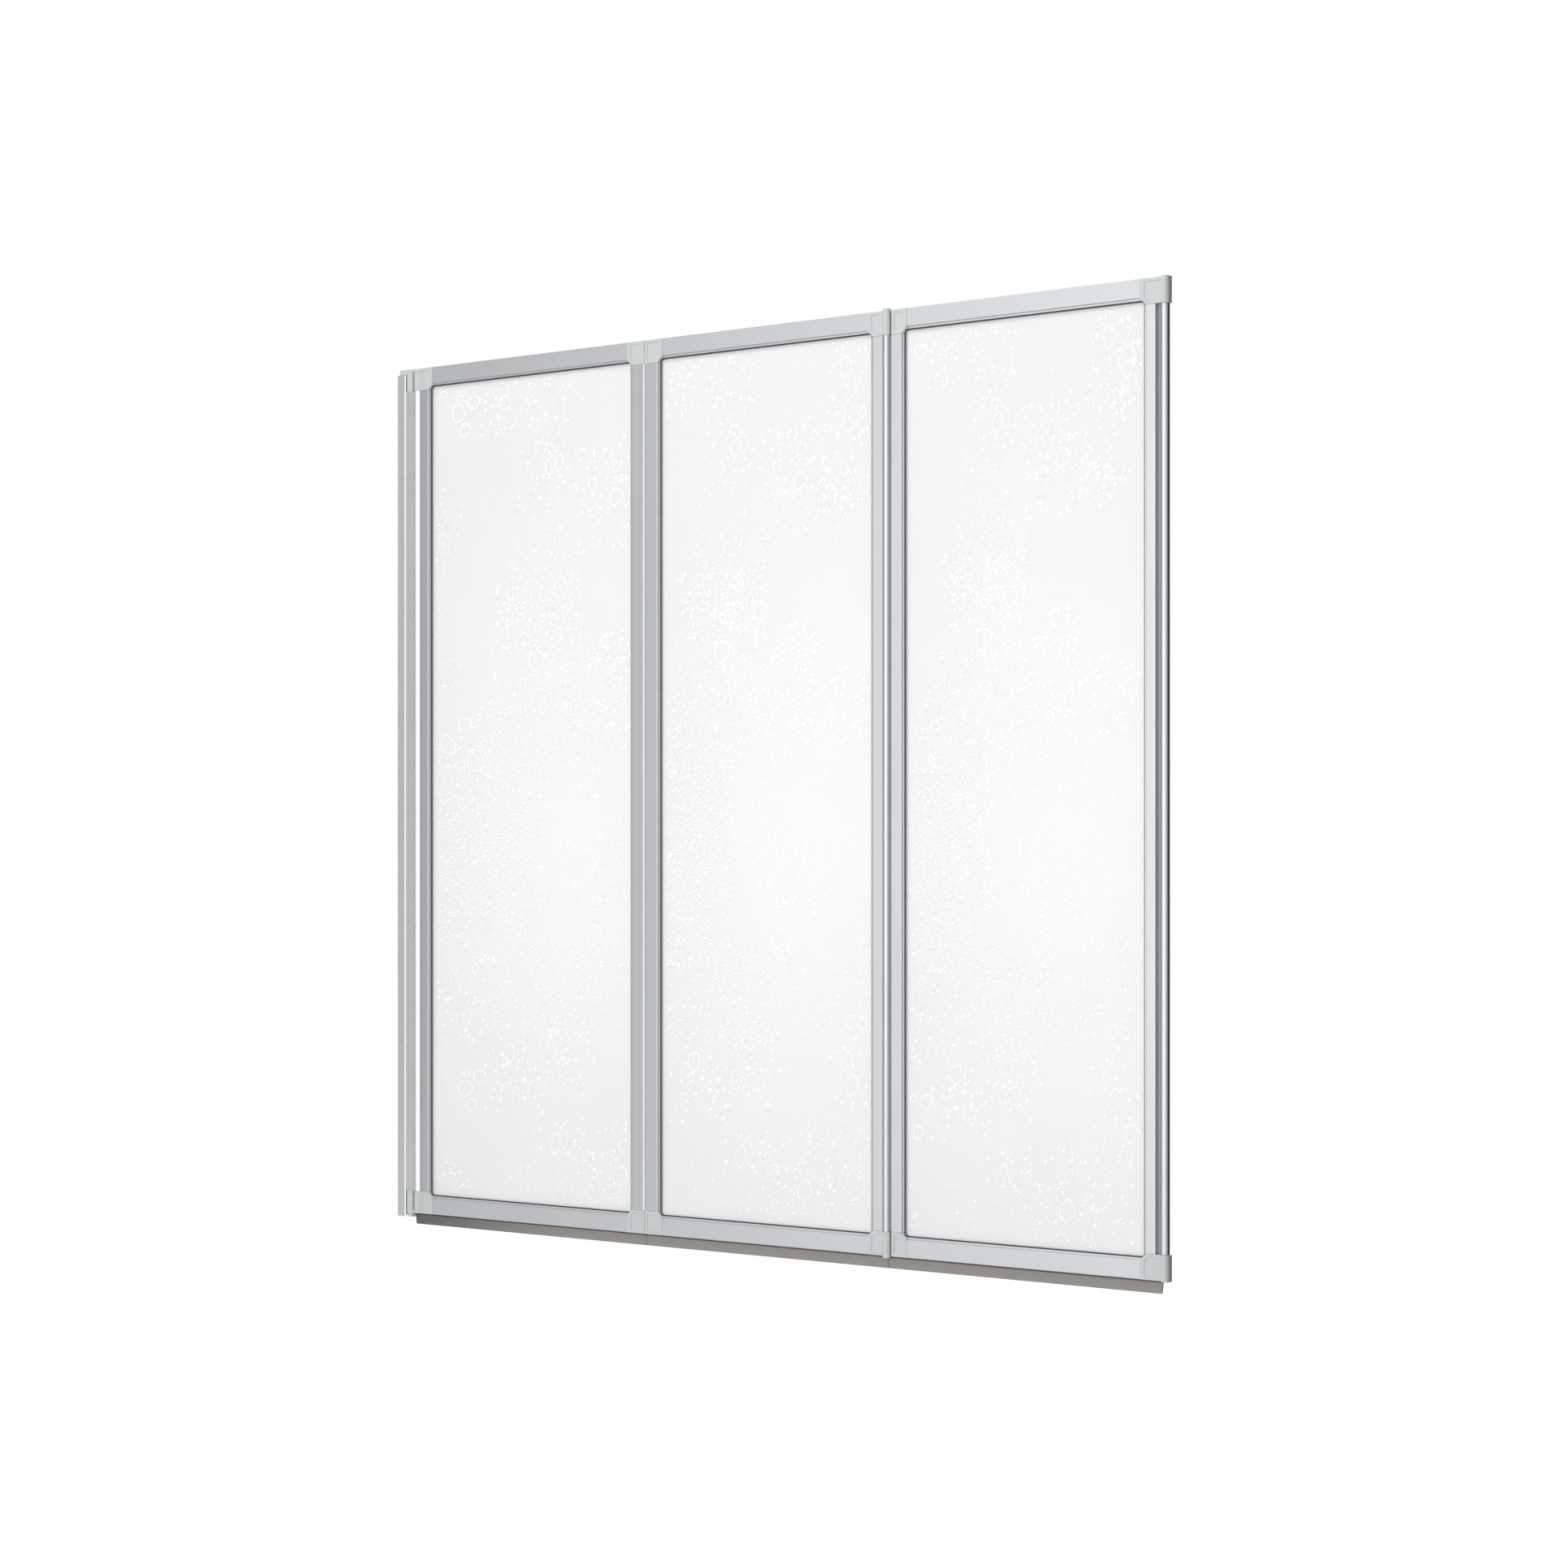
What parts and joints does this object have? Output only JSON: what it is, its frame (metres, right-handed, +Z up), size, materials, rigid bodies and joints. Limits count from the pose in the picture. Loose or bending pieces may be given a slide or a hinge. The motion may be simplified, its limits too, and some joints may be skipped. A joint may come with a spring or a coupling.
{
  "type": "folding bath screen",
  "caption": "Folding bath screen with aluminium-framed raindrop-pattern panels that hinge on a wall-mounted post and fold flat, with a rubber lip along the rim.",
  "frame": {"origin": "on the wall's face at the height of the bath rim, in the middle of the screen's thickness: the wall profile's lower back end", "axes": "+X from the wall along the open screen, +Z up, -Y towards the bath and +Y towards the room"},
  "size_m": [1.272, 0.0272, 1.2215],
  "materials": {
    "aluminium": "satin anodised",
    "corner_plastic": "fine satin",
    "pane": "translucent sheet with a raised raindrop pattern",
    "glazing_strip": "matt dark grey",
    "bottom_seal": "satin taupe",
    "steel": "stainless"
  },
  "bodies": {
    "wall": {"wall_profile": "aluminium", "hinge_post": "aluminium", "post_cap_top": "corner_plastic", "post_cap_bottom": "corner_plastic", "adjusting_screws": "steel", "wall_pin_top": "steel", "wall_pin_bottom": "steel"},
    "panel_1": {"panel_1_left_stile": "aluminium", "panel_1_right_stile": "aluminium", "panel_1_top_rail": "aluminium", "panel_1_bottom_rail": "aluminium", "panel_1_corner_top_left": "corner_plastic", "panel_1_corner_top_right": "corner_plastic", "panel_1_corner_bottom_left": "corner_plastic", "panel_1_corner_bottom_right": "corner_plastic", "panel_1_pane": "pane", "panel_1_glazing_strips": "glazing_strip", "panel_1_bottom_seal": "bottom_seal", "panel_1_corner_screws": "steel", "fold_1_pin_top": "steel", "fold_1_pin_bottom": "steel"},
    "panel_2": {"panel_2_left_stile": "aluminium", "panel_2_right_stile": "aluminium", "panel_2_top_rail": "aluminium", "panel_2_bottom_rail": "aluminium", "panel_2_corner_top_left": "corner_plastic", "panel_2_corner_top_right": "corner_plastic", "panel_2_corner_bottom_left": "corner_plastic", "panel_2_corner_bottom_right": "corner_plastic", "panel_2_pane": "pane", "panel_2_glazing_strips": "glazing_strip", "panel_2_bottom_seal": "bottom_seal", "panel_2_corner_screws": "steel", "fold_2_pin_top": "steel", "fold_2_pin_bottom": "steel"},
    "panel_3": {"panel_3_left_stile": "aluminium", "panel_3_right_stile": "aluminium", "panel_3_top_rail": "aluminium", "panel_3_bottom_rail": "aluminium", "panel_3_corner_top_left": "corner_plastic", "panel_3_corner_top_right": "corner_plastic", "panel_3_corner_bottom_left": "corner_plastic", "panel_3_corner_bottom_right": "corner_plastic", "panel_3_pane": "pane", "panel_3_glazing_strips": "glazing_strip", "panel_3_bottom_seal": "bottom_seal", "panel_3_corner_screws": "steel"}
  },
  "joints": [
    {"name": "wall_hinge", "type": "hinge", "parent": "wall", "child": "panel_1", "pos_m": [0.035, 0, 0.605], "axis": [0, 0, 1], "range_deg": [-90, 0]},
    {"name": "fold_1_hinge", "type": "hinge", "parent": "panel_1", "child": "panel_2", "pos_m": [0.4595, 0.0083, 0.605], "axis": [0, 0, 1], "range_deg": [0, 180]},
    {"name": "fold_2_hinge", "type": "hinge", "parent": "panel_2", "child": "panel_3", "pos_m": [0.8605, -0.0083, 0.605], "axis": [0, 0, 1], "range_deg": [-180, 0]}
  ]
}
